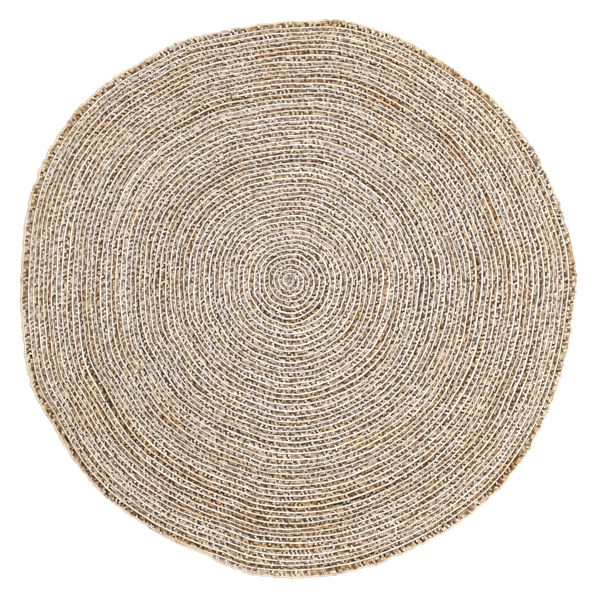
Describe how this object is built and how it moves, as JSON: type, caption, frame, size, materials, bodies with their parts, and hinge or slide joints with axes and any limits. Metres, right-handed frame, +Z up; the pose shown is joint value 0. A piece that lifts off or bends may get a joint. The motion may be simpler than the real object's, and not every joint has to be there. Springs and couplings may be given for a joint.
{
  "type": "round jute rug",
  "caption": "Round flat rug of plaited natural jute wound in a coil with a pale cord between the rounds, uneven rim and a drawn-in end.",
  "frame": {"origin": "on the floor, under the middle of the rug's box", "axes": "+Z up, out of the rug's face; +X to the right and +Y to the top of the rug as it is seen from above, with the widest bulge of the rim at -Y"},
  "size_m": [1.4947, 1.5015, 0.009],
  "materials": {
    "jute": "matte, coarse plaited natural jute, mottled tan, grey-brown and rust, with a cream cord beside each round"
  },
  "bodies": {
    "root": {"rug": "jute"}
  },
  "joints": []
}
